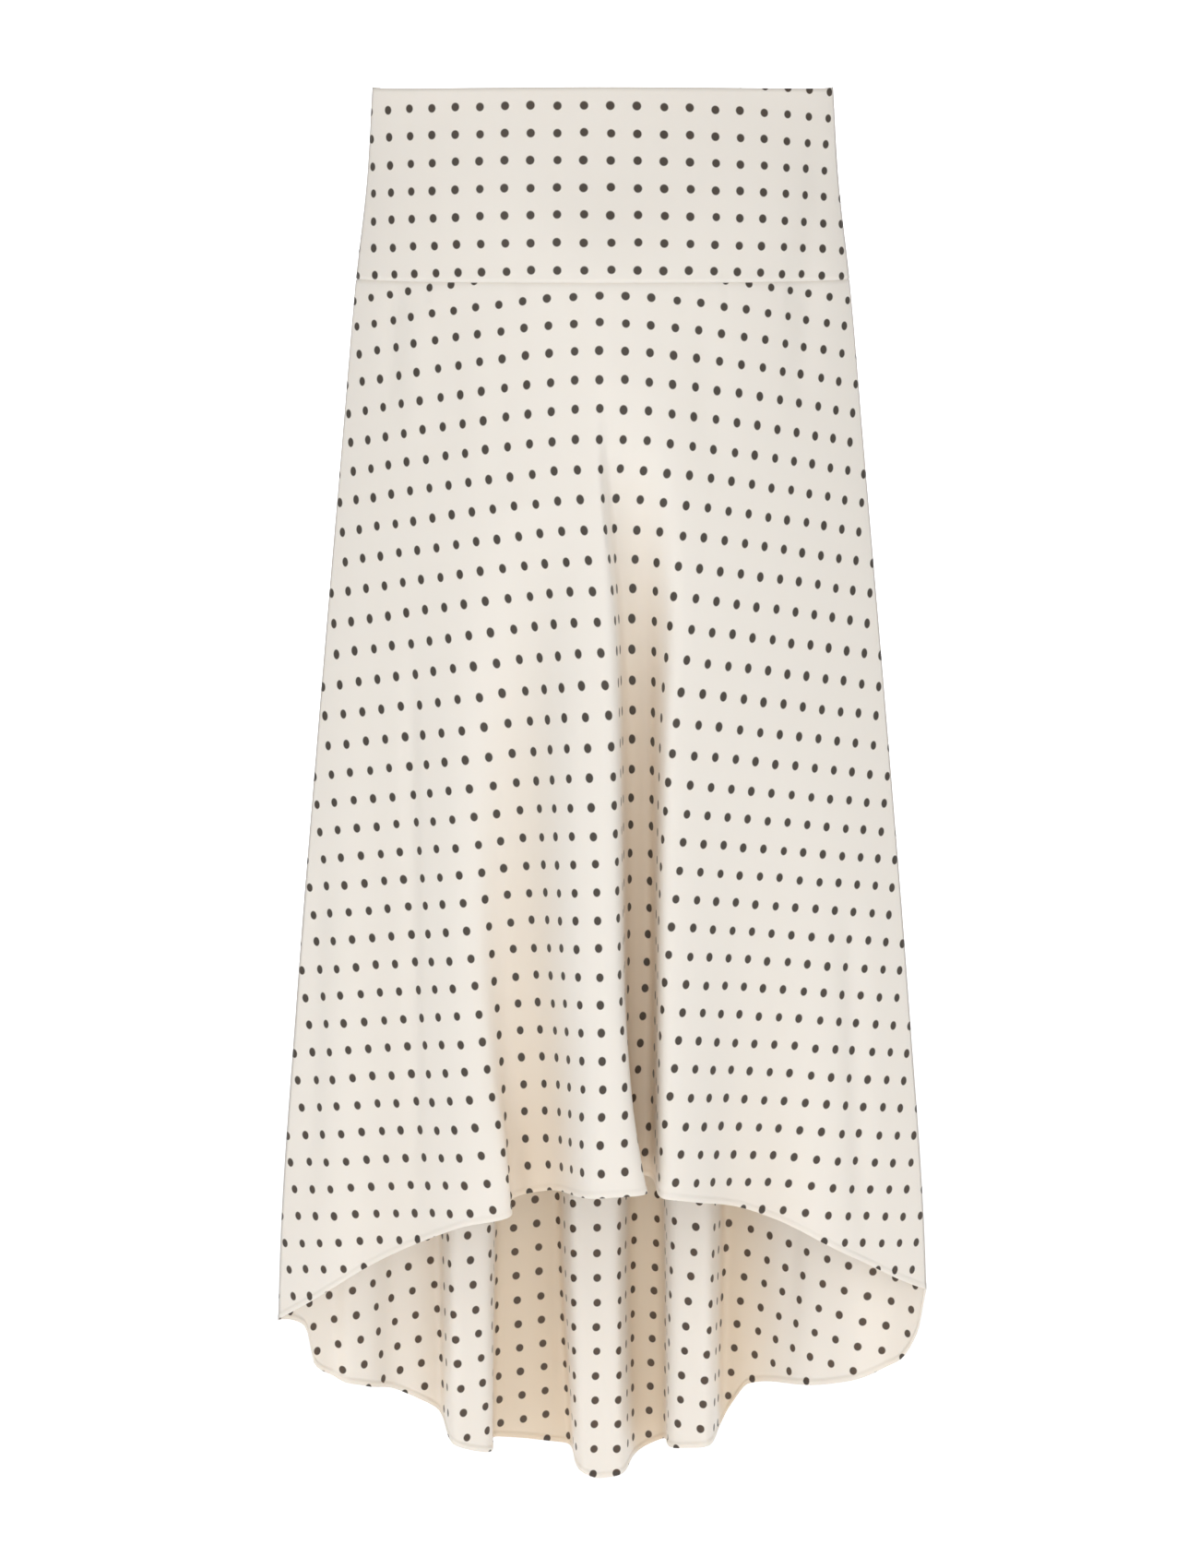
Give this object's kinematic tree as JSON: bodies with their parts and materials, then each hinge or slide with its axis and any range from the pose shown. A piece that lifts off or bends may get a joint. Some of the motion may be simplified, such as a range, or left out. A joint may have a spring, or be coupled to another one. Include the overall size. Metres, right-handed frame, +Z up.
{
  "type": "asymmetric skirt",
  "caption": "Long flared skirt on a plain hip yoke, with a high-low hem, hanging in deep folds as when worn.",
  "frame": {"origin": "middle of the waist opening, level with its upper edge at the side seams", "axes": "+Z up through the waist, -Y to the wearer's front, +X to the right of someone facing the front"},
  "size_m": [0.4785, 0.2383, 1.0421],
  "materials": {
    "dotted_cloth": "soft ivory satin weave with small dark dots"
  },
  "bodies": {
    "root": {"yoke_front": "dotted_cloth", "yoke_back": "dotted_cloth", "skirt_front": "dotted_cloth", "skirt_back": "dotted_cloth"}
  },
  "joints": []
}
